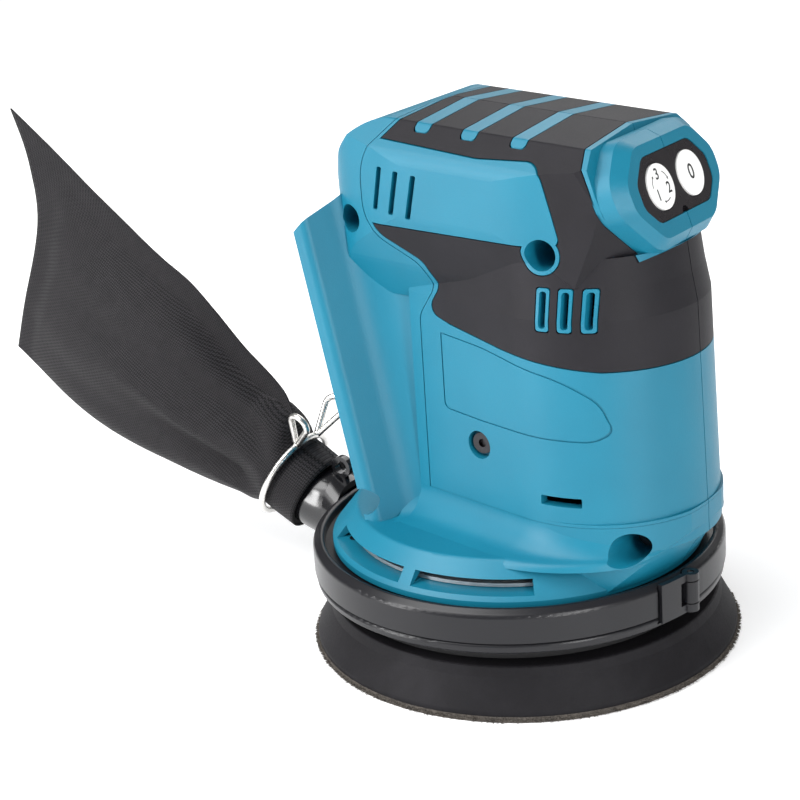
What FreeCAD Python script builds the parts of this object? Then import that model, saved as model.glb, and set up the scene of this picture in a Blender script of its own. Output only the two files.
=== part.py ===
import FreeCAD, Part
import math
import os

# A palm-grip cordless random orbital sander with a dust bag.
# Millimetres.  Origin: motor axis at the pad's working face.  +Z up the motor axis,
# +X towards the nose with the buttons, +Y towards the tool's left.
# The battery dock, the dust spout and the bag are at -X.

V = FreeCAD.Vector
UP = V(0, 0, 1)

# ---- driving dimensions ------------------------------------------------------------------

# pad and drive
PAD_R = 61.5                    # 123 mm pad
PAD_TOP_R = 56.0
PAD_BORE_R = 9.0
HOOK_T = 1.6
PAD_FOAM_TOP = 11.0
PAD_PLATE_TOP = 14.0
DUST_HOLE_PCD = 65.0
DUST_HOLE_R = 5.0
DUST_HOLES = 8
ORBIT = 2.8                     # orbit diameter; the eccentric is half of it
ECCENTRIC_ANGLE = 40.0          # where the eccentric rests, from +X towards +Y
ECC = V(ORBIT / 2 * math.cos(math.radians(ECCENTRIC_ANGLE)),
        ORBIT / 2 * math.sin(math.radians(ECCENTRIC_ANGLE)), 0)

# dust ring
RING_R = 59.4
RING_WALL = 2.2
RING_LOW = 19.2
RING_GROOVE = 22.2
RING_LEDGE = 29.4
RING_TOP = 32.0
RING_INNER_R = 44.0

# body shells
WALL = 3.0
GRIP_T = 1.4                    # thickness of the soft overmould
SEAM = 0.3                      # gap left along the joint lines of the mouldings
BARREL_X = 27.0                 # centre of the round front of the barrel
BARREL_R = 32.0
BARREL_REAR_X = -16.5
BARREL_REAR_Y = 23.6
BARREL_TOP = 122.0
WAIST_LOW = 106.0               # the barrel narrows to a waist under the handle
WAIST_IN = 2.2
BASE_LOW = 30.2
BASE_R = 53.5
BASE_BAND_LOW = 31.8            # the slanted vent band runs from here up to the shelf
BASE_SHELF = 41.0
BASE_SHELF_R = 46.0
BASE_SWEEP = 8.0                # radius of the sweep from the barrel's foot into the shelf
BASE_TOP = 49.5                 # joint line of the front shells
PARTING_X = -12.8               # joint line of the front and rear shells
BARREL_FLARE = 2.3              # the front of the barrel leans out towards the base
HANDLE_LOW = 104.0
HANDLE_HALF = 31.6
HANDLE_TOP = 154.9              # ridge of the shallow roof, at its rear end
HANDLE_FALL = 3.6               # degrees, the ridge slopes down to the nose
HANDLE_CREASE = 22.6            # half-width at which the roof breaks to the sides

# grip, vents and screw recesses: place along X, height, radius
STRIPE_X = (-8.6, 5.9, 21.0)
STRIPE_W = 4.4
STRIPE_HALF = 24.8
VENT_X = (30.7, 36.6, 42.5)     # barrel vents
VENT_Z = 108.9
VENT_W = 1.9
VENT_H = 9.6
VENT_RIM = 0.8
BOSS_RIM = 1.0
HANDLE_BOSS = (30.0, 123.0, 4.2)
REAR_BOSS = (-31.5, 126.0, 3.9)
BARREL_BOSS = (7.3, 66.8, 4.0)
FLANGE_BOSS = (50.8, 43.4, 4.3)
FOOT_BOSS = (-27.2, 46.6, 3.9)
SCREW_DEEP = 12.0               # the screw heads sit this far from the middle plane
SCREW_HEAD_R = 3.0
SCREW_R = 1.5

# slots: in the handle's window, and in the slanted band of the base (degrees from +X)
SLOTS = 3
SLOT_X = -19.6
SLOT_Z = 136.2
SLOT_PITCH = 5.6
SLOT_W = 1.7
SLOT_H = 12.0
SLOT_LEAN = 2.6
BAND_SLOTS = ((137, 96), (91.5, 53))
BAND_SLOT_LOW = 33.0
BAND_SLOT_HIGH = 36.6
GRIP_GAP = 0.3

# nose and buttons: the face leans back
NOSE_LEAN = 21.0
NOSE = V(53.4, 0, 137.0)        # middle of the nose's face
NOSE_N = V(math.cos(math.radians(NOSE_LEAN)), 0, math.sin(math.radians(NOSE_LEAN)))
NOSE_UP = V(-NOSE_N.z, 0, NOSE_N.x)
NOSE_RING_BACK = -8.0           # the rubber ends here, behind the face
PANEL_RISE = 1.0                # the panel sits a little above the middle of the face
PANEL_HALF = 18.4
PANEL_TALL = 8.6
PANEL_T = 2.0
BUTTON_Y = 8.0
BUTTON_R = 6.1
BUTTON_TRAVEL = 0.8

# battery dock: slides along a line that leans back
DOCK_LEAN = 12.0
DOCK = V(-29.2, 0, 50.0)        # rear edge of the dock walls, low down
DOCK_D = V(-math.sin(math.radians(DOCK_LEAN)), 0, math.cos(math.radians(DOCK_LEAN)))
DOCK_OUT = V(-DOCK_D.z, 0, DOCK_D.x)     # out of the dock, towards the battery
DOCK_HALF = 36.5
DOCK_TALL = 76.0
DOCK_RAIL = 2.8
DOCK_FLOOR = 9.6                # inner face of the wall behind the dock's channel

# motor
MOTOR_R = 20.0
MOTOR_LOW = 54.0
MOTOR_TOP = 100.0
SHAFT_R = 4.0
ARMATURE_R = 14.3
ARMATURE_SLOTS = 12
COMMUTATOR_R = 8.0
COMMUTATOR_BARS = 12
CRADLE_R = 21.6
BEARING_SMALL_R = 9.5
BEARING_BIG_R = 13.0
LOWER_BEARING_LOW = 33.0
UPPER_BEARING_TOP = 115.0
BOX_LOW = 29.6                  # underside of the bearing box's plate
BOX_R = 43.5
RING_SCREW_R = 47.6
COOL_FAN_R = 40.0
COOL_FAN_Z = 37.4
COOL_HAT_R = 18.0               # the fan's hub clears the bearing like a hat
COOL_HAT_TOP = 44.8
COOL_BLADES = 16
COUNTER_R = 42.0
COUNTER_LOW = 21.0
COUNTER_TOP = 28.6
COUNTER_BLADES = 9
PAD_BEARING_R = 11.0
PAD_BEARING_LOW = 17.6
PAD_SPINDLE_R = 5.0
CONTROL_X = 26.0
BOARD_HALF = 19.0
BOARD_LOW = 60.0
BOARD_TOP = 100.0
TERMINAL_FOOT = [(6.98, 9.0), (10.4, 9.0)]      # depth into the column, half width
RUN_FIT = 0.05                  # radial clearance of the running fits

# dust spout, bag and clamp: they lie on one line that climbs away behind the ring
BAG_RISE = 28.0
BAG_D = V(-math.cos(math.radians(BAG_RISE)), 0, math.sin(math.radians(BAG_RISE)))
BAG_N = V(math.sin(math.radians(BAG_RISE)), 0, math.cos(math.radians(BAG_RISE)))
SPOUT_R = 10.6
SPOUT_BORE = 8.6
SPOUT_START = V(-63.9, 0, 25.0)
SPOUT_FOOT_WIDE = 12.6          # half width and half height where it leaves the ring
SPOUT_FOOT_TALL = 6.0
SPOUT_EYE_R = 3.4               # the small eye on top of the elbow
SPOUT_BEND = V(-69.0, 0, 25.0)
BAG_MOUTH = SPOUT_BEND + BAG_D * 4.0
BAG_LENGTH = 132.0
BAG_WIDTH = 88.0
BAG_THICK = 22.0
CLAMP_WIRE = 1.0
CLAMP_AT = 11.0
EAR_LEAN = 0.36                 # radians, each ear leaning away from the other
EAR_TALL = 14.0
EAR_R = 3.1
BAG_WALL = 1.0
BAG_NECK = 18.0
SPOUT_BEND_R = 20.0
SPOUT_GRIP = 14.0               # how far the spout reaches into the bag

# ring latch: a plate and two knuckles on a pin near the nose
LATCH_ANGLE = -7.0
LATCH_SPAN = 11.5
LATCH_REACH = 60.0
LATCH_KNUCKLE_R = 2.3
LATCH_PIN_R = 0.9
LATCH_LOW = 20.6
LATCH_HIGH = 31.8
LATCH_MID_LOW = 23.2
LATCH_MID_HIGH = 29.4

os.makedirs("parts", exist_ok=True)


def save(name, shape):
    """Writes one sub-part.  A group of like pieces is a compound of solids."""
    if shape.ShapeType != "Compound" or len(shape.Solids) == 1:
        shape = shape.Solids[0]
    if not shape.isValid():
        print("not valid:", name)
    shape.exportStep("parts/" + name + ".step")


def largest(shape):
    """The biggest solid of a shape, without any slivers beside it."""
    return max(shape.Solids, key=lambda solid: solid.Volume)


# ---- outlines and simple solids ------------------------------------------------------------

def cyl(radius, low, high, centre=V(0, 0, 0)):
    return Part.makeCylinder(radius, high - low, V(centre.x, centre.y, low))


def tube(outer, inner, low, high, centre=V(0, 0, 0)):
    return cyl(outer, low, high, centre).cut(cyl(inner, low - 1, high + 1, centre))


def rod(radius, start, end):
    return Part.makeCylinder(radius, (end - start).Length, start, end - start)


def box(low, high):
    size = [high[i] - low[i] for i in range(3)]
    return Part.makeBox(size[0], size[1], size[2], V(*low))


def outline(points, radius=0.0):
    """A closed wire through points, each corner rounded by radius, or by its own fourth value."""
    corners = [V(*point[:3]) for point in points]
    radii = [point[3] if len(point) > 3 else radius for point in points]
    edges = []
    starts = []
    ends = []
    for i, corner in enumerate(corners):
        before = (corners[i - 1] - corner).normalize()
        after = (corners[(i + 1) % len(corners)] - corner).normalize()
        if radii[i] <= 0:
            starts.append(corner)
            ends.append(corner)
            continue
        half = before.getAngle(after) / 2
        back = radii[i] / math.tan(half)
        middle = corner + (before + after).normalize() * (radii[i] / math.sin(half) - radii[i])
        starts.append(corner + before * back)
        ends.append(corner + after * back)
        edges.append((i, Part.Arc(starts[i], middle, ends[i]).toShape()))
    arcs = dict(edges)
    ring = []
    for i in range(len(corners)):
        if i in arcs:
            ring.append(arcs[i])
        following = starts[(i + 1) % len(corners)]
        if (following - ends[i]).Length > 1e-6:
            ring.append(Part.LineSegment(ends[i], following).toShape())
    return Part.Wire(ring)


def sweep(wire, vector):
    return Part.Face(wire).extrude(vector)


def side_prism(points, radius=0.0, half=90.0):
    """A solid from an outline in X and Z, running across the tool in Y."""
    flat = [(p[0], -half, p[1]) + tuple(p[2:]) for p in points]
    return sweep(outline(flat, radius), V(0, 2 * half, 0))


def plan_prism(points, low, high, radius=0.0):
    flat = [(p[0], p[1], low) + tuple(p[2:]) for p in points]
    return sweep(outline(flat, radius), V(0, 0, high - low))


def turned(points, centre=V(0, 0, 0)):
    """A solid of revolution about the vertical from an outline of radius and height."""
    wire = outline([(p[0], 0, p[1]) + tuple(p[2:]) for p in points])
    solid = Part.Face(wire).revolve(V(0, 0, 0), UP, 360)
    solid.translate(centre)
    return solid


def nose_point(y, s, out=0.0):
    """A point on the nose's face: across, up the face, and out of it."""
    return NOSE + V(0, y, 0) + NOSE_UP * s + NOSE_N * out


def nose_outline(half, up, down, high_corner, low_corner, out, radius):
    """An eight-sided outline round the nose, its corners rounded."""
    flat = [(half - high_corner, up), (half, up - high_corner), (half, -down + low_corner),
            (half - low_corner, -down)]
    flat += [(-y, s) for y, s in reversed(flat)]
    return outline([tuple(nose_point(y, s, out)) for y, s in flat], radius)


# ---- the body's outer form, drawn in by t ----------------------------------------------------

def egg(t, z):
    """The barrel's section: a round front whose sides close in towards the rear."""
    radius = BARREL_R - t
    rear = V(BARREL_REAR_X, -(BARREL_REAR_Y - t), z)
    centre = V(BARREL_X + BARREL_FLARE * (WAIST_LOW - z) / (WAIST_LOW - BASE_TOP), 0, z)
    reach = rear - centre
    turn = math.acos(radius / reach.Length)
    angle = math.atan2(reach.y, reach.x) + turn
    touch = centre + V(math.cos(angle), math.sin(angle), 0) * radius
    front = centre + V(radius, 0, 0)
    far = V(touch.x, -touch.y, z)
    rear_far = V(rear.x, -rear.y, z)
    return Part.Wire([Part.LineSegment(rear, touch).toShape(),
                      Part.Arc(touch, front, far).toShape(),
                      Part.LineSegment(far, rear_far).toShape(),
                      Part.LineSegment(rear_far, rear).toShape()])


def barrel_form(t):
    mid = (WAIST_LOW + BARREL_TOP) / 2
    sections = [egg(t, BASE_TOP - 8), egg(t, WAIST_LOW), egg(t + WAIST_IN * 0.6, mid),
                egg(t + WAIST_IN, BARREL_TOP)]
    return Part.makeLoft(sections, True, True)


def handle_form(t):
    """Three crossing outlines: from the side, from above and from the end."""
    drop = math.tan(math.radians(HANDLE_FALL))
    nose_top = nose_point(0, 19, NOSE_RING_BACK)
    nose_low = nose_point(0, -17, NOSE_RING_BACK)
    crown = HANDLE_TOP + 2 - t
    side = side_prism([(-40 + t, HANDLE_LOW + t), (-46 + t, 112), (-46 + t, 123), (-41.5 + t, 134, 10),
                       (-36 + t * 0.8, 143.8 - t * 0.3, 14), (-27.5 + t * 0.7, 152.2 - t * 0.7, 14),
                       (-10, crown - 0.8, 40), (10, crown), (nose_top.x, crown), (nose_low.x, nose_low.z),
                       (32, 113 + t, 20), (10, HANDLE_LOW + t)])
    half = HANDLE_HALF - t
    near = [(58, -23.5 + t), (44, -27.6 + t, 30), (22, -half, 60), (-16, -half, 40),
            (-34, -27.5 + t, 16), (-47, -13, 18)]
    plan = plan_prism(near + [(p[0], -p[1]) + tuple(p[2:]) for p in reversed(near)], 100, 170)
    top = HANDLE_TOP - t + 60 * drop
    end = [(0.0, top), (HANDLE_CREASE - t * 0.4, top - 2.0, 1.5), (half, top - 9.5, 5),
           (half, top - 27, 12), (half - 4.5, top - 41, 12), (half - 12, top - 56), (0.0, top - 56)]
    ring = [(-70, -y, z) + tuple(r) for y, z, *r in end]
    ring += [(-70, y, z) + tuple(r) for y, z, *r in reversed(end[1:-1])]
    lid = sweep(outline(ring), V(140, 0, -140 * drop))
    mouth = nose_outline(27.4 - t, 27 - t, 15.1 - t, 9.5, 14.7, NOSE_RING_BACK, 8)
    throat = nose_outline(90 - t, 90 - t, 100 - t, 9.5, 14.5, -130, 8)
    funnel = Part.makeLoft([mouth, throat], True, True).fuse(sweep(mouth, NOSE_N * 10))
    return side.common(plan).common(lid).common(funnel)


def nose_form(t):
    """The thick ring round the switch panel, bevelled towards its face."""
    back = nose_outline(27.2 - t, 16.8 - t, 15.4 - t, 9.5 - t * 0.6, 14.5 - t * 0.6,
                        NOSE_RING_BACK - 0.6, 8.4)
    shoulder = nose_outline(26.3 - t, 15.6 - t, 14.6 - t, 9.2 - t * 0.6, 12.8 - t * 0.6, -3.0 - t, 8.4)
    face = nose_outline(22.8 - t, 12.8 - t, 12.0 - t, 8.0 - t * 0.6, 9.5 - t * 0.6, -t, 6.8)
    return Part.makeLoft([back, shoulder, face], True, True)


def dock_at(u, v, along=-14.0):
    """A point of the dock: u into the column, v across, along the slide line."""
    p = DOCK + DOCK_D * along - DOCK_OUT * u
    return (p.x, v, p.z)


def dock_prism(points, start, end, radius=0.0):
    """A solid along the dock's slide line; points are half of its symmetric section."""
    ring = [dock_at(p[0], -p[1], start) + tuple(p[2:]) for p in points]
    ring += [dock_at(p[0], p[1], start) + tuple(p[2:]) for p in reversed(points)]
    return sweep(outline(ring, radius), DOCK_D * (end - start))


def column_form(t):
    """The column that carries the battery dock: waisted behind the barrel, flared to the dock."""
    section = [(t, DOCK_HALF - t), (4.0, DOCK_HALF - t, 3), (9.5, 25.5 - t, 12),
               (16.0, 21.4 - t, 14), (46.0, 21.8 - t)]
    column = dock_prism(section, -14, DOCK_TALL + 24)
    keep = side_prism([(-70, BASE_SHELF - 4 + t), (40, BASE_SHELF - 4 + t), (40, 138 - t),
                       (-30, 138 - t), (-45 + t, 122.6 - t), (-70, 110)])
    return column.common(keep)


def base_form(t):
    band = turned([(0, BASE_LOW + t), (BASE_R - t, BASE_LOW + t), (BASE_R - t, BASE_BAND_LOW + t / 2),
                   (BASE_SHELF_R - t, BASE_SHELF - t, 1.5), (0, BASE_SHELF - t)])
    drum = sweep(egg(t, BASE_LOW + t), V(0, 0, BASE_TOP - BASE_LOW - t + 1))
    cone = turned([(0, BASE_LOW + t), (BASE_R - 0.4 - t, BASE_LOW + t), (61.5 - t, BASE_TOP - 5),
                   (61.5 - t, BASE_TOP + 2), (0, BASE_TOP + 2)])
    base = band.fuse(drum.common(cone))
    if t == 0:
        base = base.fuse(base_flare().common(cone)).fuse(column_flare().common(cone))
    return base


def flare_steps():
    """Heights over the shelf and outward reach of a concave quarter-round."""
    steps = []
    for h in (-2.0, 0.0, 0.8, 2.0, 3.8, 6.0, BASE_SWEEP):
        up = max(h, 0.0)
        reach = BASE_SWEEP - math.sqrt(BASE_SWEEP ** 2 - (BASE_SWEEP - up) ** 2)
        steps.append((BASE_SHELF + h, reach - min(h, 0.0)))
    return steps


def base_flare():
    """The sweep of the barrel's foot into the base."""
    wires = []
    for z, reach in flare_steps():
        wires.append(egg(-reach, z).translated(V(-reach - 0.4, 0, 0)))
    return Part.makeLoft(wires, True)


def column_flare():
    """The same sweep round the foot of the column."""
    wires = []
    for z, reach in flare_steps():
        rear = dock_at(8.0, 0, (z - DOCK.z) / DOCK_D.z)[0]
        half = [(rear, 26.0 + reach), (rear + 8, 21.3 + reach), (10, 21.3 + reach)]
        ring = [(x, -y, z, 5 if x < 9 and x > rear else 0) for x, y in half]
        ring += [(x, y, z, 5 if x < 9 and x > rear else 0) for x, y in reversed(half)]
        wires.append(outline(ring))
    return Part.makeLoft(wires, True)


def body_form(t):
    form = barrel_form(t)
    for piece in (handle_form(t), nose_form(t), column_form(t), base_form(t)):
        form = form.fuse(piece)
    return form


# ---- where the mouldings meet ------------------------------------------------------------------

def front_region(gap=0.0):
    """What lies ahead of the joint line of the front and rear shells."""
    line = [(PARTING_X, BASE_TOP), (PARTING_X, 100, 6), (-6.6, 108.8, 5), (-9.5, 115.5, 8),
            (-20.5, 121.8, 8), (-26, 128.5, 9), (-26.3, 142, 16), (-16.5, 155.2), (-14, 175),
            (90, 175), (90, BASE_TOP)]
    region = side_prism(line)
    if gap:
        region.translate(V(gap, 0, gap * 0.3))
    return region


def window_region(g=0.0):
    """The bare plastic window in the soft grip, on each side of the handle."""
    return side_prism([(-50, 126.6 - g), (-17, 126.4 - g), (25, 125.2 - g), (35.4 + g, 125.6 - g, 2),
                       (33.2 + g, 134, 8), (29.8 + g, 146.4 + g, 6), (11, 146.2 + g),
                       (-20, 149 + g), (-50, 153 + g)])


def stripe_solids(g=0.0):
    """Three bare bars across the top of the handle."""
    bars = []
    for x in STRIPE_X:
        w = STRIPE_W / 2 + g
        end = STRIPE_HALF + g
        bars.append(plan_prism([(x - w, -end, 1.2), (x + w, -end, 1.2), (x + w, end, 1.2),
                                (x - w, end, 1.2)], 143, 170))
    return bars


def grip_region(g=0.0):
    """Where the soft grip covers the front shells; g draws its edges in."""
    low = [(90, 91.2 + g), (45, 92.4 + g), (17, 96 + g), (-1.3, 99.3 + g), (-9.6 + g, 101.8, 3),
           (-4.9 + g, 109.2, 4), (-8.2 + g, 116.6, 6), (-19.6 + g, 122.9, 6), (-24.6 + g, 129, 8),
           (-24.9 + g, 141.8, 14), (-15.4 + g, 155, 1), (-13 + g, 175), (90, 175)]
    region = side_prism(low).cut(window_region(g))
    nose_clear = sweep(nose_outline(40, 30, 15.0, 10, 14.3, NOSE_RING_BACK - g, 0), NOSE_N * 40)
    region = region.cut(nose_clear).cut(nose_form(-g))
    for bar in stripe_solids(g):
        region = region.cut(bar)
    for side in (-1, 1):
        x, z, r = HANDLE_BOSS
        region = region.cut(rod(r + BOSS_RIM + g, V(x, side * 20, z), V(x, side * 60, z)))
        for x in VENT_X:
            region = region.cut(vent_solid(x, side, VENT_RIM + g))
    return region


def vent_solid(x, side, grow):
    w = VENT_W / 2 + grow
    h = VENT_H / 2 + grow
    points = [(x - w, VENT_Z - h), (x + w, VENT_Z - h), (x + w, VENT_Z + h), (x - w, VENT_Z + h)]
    block = side_prism(points, 0.8)
    return block.common(box((0, min(side * 15, side * 60), 90), (70, max(side * 15, side * 60), 130)))


def screw_line(boss, side, radius, low, high):
    x, z, r = boss
    return rod(radius, V(x, side * low, z), V(x, side * high, z))


# ---- the shells and the soft grip ----------------------------------------------------------------

def half_of(solid, side):
    """The right (-1) or the left (+1) half, with the moulded joint gap in the middle."""
    low = SEAM / 2 if side > 0 else -100
    high = 100 if side > 0 else -SEAM / 2
    return solid.common(box((-120, low, 20), (100, high, 180)))


def boss_post(boss, side, form):
    """A hollow post from the skin to the middle plane, for one housing screw."""
    post = screw_line(boss, side, boss[2] + 1.8, SEAM / 2, 60)
    return post.common(form)


def boss_hole(boss, side):
    """The head's recess and the screw's clearance hole; the far side takes the thread."""
    hole = screw_line(boss, side, boss[2], SCREW_DEEP, 70)
    return hole.fuse(screw_line(boss, side, SCREW_R + 0.2, -1, SCREW_DEEP + 1))


def window_slots(side):
    """Three leaning slots in the bare window of the handle."""
    slots = []
    for n in range(SLOTS):
        x = SLOT_X + SLOT_PITCH * n
        z = SLOT_Z - 0.7 * n
        w = SLOT_W / 2
        lean = SLOT_LEAN / 2
        h = SLOT_H / 2
        slot = side_prism([(x - w - lean, z - h), (x + w - lean, z - h), (x + w + lean, z + h),
                           (x - w + lean, z + h)], 0.5)
        slots.append(slot.common(box((-60, min(side * 18, side * 60), 90),
                                     (60, max(side * 18, side * 60), 160))))
    return slots


def band_slots(side):
    """Arc-shaped exhaust slots through the slanted band of the base."""
    slots = []
    for start, end in BAND_SLOTS:
        ring = turned([(BASE_SHELF_R - 4, BAND_SLOT_LOW), (BASE_R + 5, BAND_SLOT_LOW),
                       (BASE_R + 5, BAND_SLOT_HIGH), (BASE_SHELF_R - 4, BAND_SLOT_HIGH)])
        a = V(math.cos(math.radians(start)), side * math.sin(math.radians(start)), 0) * 90
        b = V(math.cos(math.radians(end)), side * math.sin(math.radians(end)), 0) * 90
        wedge = plan_prism([(0, 0), (a.x, a.y), ((a + b).x, (a + b).y), (b.x, b.y)], 20, 60)
        slots.append(ring.common(wedge))
    return slots


def label_groove(form, deeper):
    """The shallow outline round the blank label field on the right of the barrel."""
    field = [(-5.2, 96.6, 0.6), (-5.1, 74.8, 2), (8.2, 74.0, 20), (29.3, 73.6, 40), (43.4, 73.4, 8),
             (47.8, 76.0, 2.5), (44.6, 84.8, 10), (35.6, 90.4, 30), (9.7, 95.4, 60)]
    outer = side_prism(field)
    inner = side_prism([(x + (0.4 if x < 20 else -0.4), z + (0.4 if z < 80 else -0.4), r)
                        for x, z, r in field])
    band = outer.cut(inner).common(box((-10, -60, 60), (60, -10, 110)))
    return form.cut(deeper).common(band)


def dock_pocket():
    """The channel that the battery's shoe slides down, open at the top and the rear."""
    return dock_prism([(-6, DOCK_HALF - 2.8), (2.2, DOCK_HALF - 2.8), (7.0, 24.2)], 1.0, DOCK_TALL + 26)


def dock_rails():
    rails = []
    for side in (-1, 1):
        wide = DOCK_HALF - 2.4
        thin = DOCK_HALF - 2.8 - DOCK_RAIL
        section = [(0, wide), (2.2, wide), (2.2, thin), (0, thin)]
        ring = [dock_at(u, side * v, 2.0) for u, v in section]
        rails.append(sweep(outline(ring), DOCK_D * (DOCK_TALL - 6)))
    return rails


def hollow():
    """The room inside the shells, kept ahead of the dock's floor."""
    room = barrel_form(WALL).fuse(handle_form(WALL)).fuse(base_form(WALL))
    neck = dock_prism([(7.4, 21.0), (16.0, 18.2, 8), (46.0, 18.6)], -14, DOCK_TALL + 16)
    neck = neck.common(side_prism([(-70, BASE_SHELF - 4), (30, BASE_SHELF - 4), (30, 130), (-70, 130)]))
    nose_room = sweep(nose_outline(22.4, 12.6, 12.2, 7.0, 9.5, -26, 4), NOSE_N * 21.5)
    room = room.fuse(neck).fuse(nose_room)
    wall = dock_prism([(-60, 90), (DOCK_FLOOR, 90)], -9, 110)
    return room.cut(wall)


def board_ribs(side):
    """Two slotted ribs that hold one edge of the controller board."""
    ribs = []
    edge = BOARD_HALF - 1.0
    for z in (BOARD_LOW + 4, BOARD_TOP - 4):
        rib = box((CONTROL_X - 1.6, min(side * edge, side * 60), z - 2),
                  (CONTROL_X + 3.6, max(side * edge, side * 60), z + 2))
        ribs.append(rib.cut(controller_plate()))
    return ribs


def controller_plate():
    return box((CONTROL_X, -BOARD_HALF, BOARD_LOW), (CONTROL_X + 2, BOARD_HALF, BOARD_TOP))


def shells():
    form = body_form(0.0)
    under_grip = body_form(GRIP_T)
    skin = form.cut(under_grip)
    room = hollow()
    covered = largest(skin.common(grip_region()))
    grip = largest(skin.common(grip_region(GRIP_GAP)))
    front = form.common(front_region(SEAM)).cut(covered).cut(room)
    rear = form.cut(front_region()).cut(room).cut(dock_pocket())
    rear = rear.cut(cyl(BOX_R + 0.05, BASE_LOW - 5, BASE_LOW + WALL + 0.5))
    rear = rear.cut(cyl(COOL_HAT_R + 1.0, BASE_LOW, COOL_HAT_TOP + 1.0))
    rear = rear.cut(dock_prism(TERMINAL_FOOT, 38, 54))
    for at in ring_screw_places():
        rear = rear.cut(cyl(SCREW_R, BASE_LOW - 1, BASE_LOW + WALL + 1, at))
    for rail in dock_rails():
        rear = rear.fuse(rail)
    front = front.cut(label_groove(form, body_form(0.35)))
    panel_hole = sweep(nose_panel_outline(0.15, -12), NOSE_N * 20)
    front = front.cut(panel_hole)
    for side, name in ((-1, "right"), (1, "left")):
        front_half = half_of(front, side)
        rear_half = half_of(rear, side)
        grip_half = half_of(grip, side)
        post = boss_post(HANDLE_BOSS, side, under_grip.common(front_region(SEAM)))
        front_half = front_half.fuse(post)
        for boss in (REAR_BOSS, FLANGE_BOSS, FOOT_BOSS):
            rear_half = rear_half.fuse(boss_post(boss, side, form.cut(front_region())))
        rear_half = rear_half.cut(dock_pocket())
        pad = screw_line(BARREL_BOSS, side, BARREL_BOSS[2] + 1.8, CRADLE_R + 0.1, 60)
        front_half = front_half.fuse(pad.common(form).common(front_region(SEAM)))
        for rib in board_ribs(side):
            front_half = front_half.fuse(rib.common(under_grip))
        for boss in (HANDLE_BOSS, REAR_BOSS, FLANGE_BOSS, FOOT_BOSS):
            hole = boss_hole(boss, side) if side < 0 else screw_line(boss, side, SCREW_R, -1, 11)
            front_half = front_half.cut(hole)
            rear_half = rear_half.cut(hole)
        cradle_hole = screw_line(BARREL_BOSS, side, BARREL_BOSS[2], CRADLE_R + 3, 60)
        cradle_hole = cradle_hole.fuse(screw_line(BARREL_BOSS, side, SCREW_R + 0.2, 10, 40))
        front_half = front_half.cut(cradle_hole)
        key = side_prism([(28.6, 55.0), (40.0, 55.0), (40.0, 57.7), (28.6, 57.7)], 0.4)
        front_half = front_half.cut(key.common(box((0, -60, 40), (60, -20, 70))))
        for slot in window_slots(side) + [vent_solid(x, side, 0) for x in VENT_X]:
            front_half = front_half.cut(slot)
        for slot in band_slots(side):
            rear_half = rear_half.cut(slot)
        save("front_shell_" + name, front_half)
        save("rear_shell_" + name, rear_half)
        save("grip_rubber_" + name, grip_half)


# ---- nose: panel, buttons, board ------------------------------------------------------------------

def nose_panel_outline(grow, out):
    """The rounded black plate between the two halves of the nose ring."""
    half = PANEL_HALF + grow
    tall = PANEL_TALL + grow
    trim = 0.59 * grow
    flat = [(half - 6.0 - trim, tall), (half, tall - 6.0 - trim), (half, -tall + 5.0 + trim),
            (half - 5.0 - trim, -tall)]
    flat += [(-y, z) for y, z in reversed(flat)]
    points = []
    for y, z in flat:
        p = nose_point(y, z + PANEL_RISE, out)
        points.append((p.x, p.y, p.z))
    return outline(points, 4.2)


def nose_cylinder(y, radius, low, high):
    return rod(radius, nose_point(y, PANEL_RISE, low), nose_point(y, PANEL_RISE, high))


def switch_panel():
    plate = sweep(nose_panel_outline(0, -PANEL_T - 0.2), NOSE_N * PANEL_T)
    flange = sweep(nose_panel_outline(-1.4, -PANEL_T - 2.2), NOSE_N * 2.0)
    plate = plate.fuse(flange)
    for side in (-1, 1):
        plate = plate.cut(nose_cylinder(side * BUTTON_Y, BUTTON_R + 0.3, -10, 10))
    low = PANEL_RISE - PANEL_TALL
    notch = rod(1.6, nose_point(0, low, -1.4), nose_point(0, low, 2))
    save("switch_panel", plate.cut(notch))


def button(name, side):
    y = side * BUTTON_Y
    cap = nose_cylinder(y, BUTTON_R, -2.2, 0.35)
    cap = cap.makeFillet(0.3, [e for e in cap.Edges if e.Length > 10 and
                               (e.BoundBox.Center - nose_point(y, PANEL_RISE, 0.35)).Length < 0.5])
    stem = nose_cylinder(y, 1.6, -4.0, -2.2)
    save(name, cap.fuse(stem))


def switch_board():
    board = sweep(nose_panel_outline(-2.4, -8.6), NOSE_N * 1.6)
    domes = []
    for side in (-1, 1):
        domes.append(nose_cylinder(side * BUTTON_Y, 2.4, -7.0, -5.2))
    save("switch_board", board)
    save("tact_switches", Part.makeCompound(domes))
    frame = sweep(nose_panel_outline(-1.6, -7.0), NOSE_N * 2.8)
    frame = frame.cut(sweep(nose_panel_outline(-3.0, -9), NOSE_N * 8))
    save("switch_frame", frame)


# ---- motor and drive ---------------------------------------------------------------------------------

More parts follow.
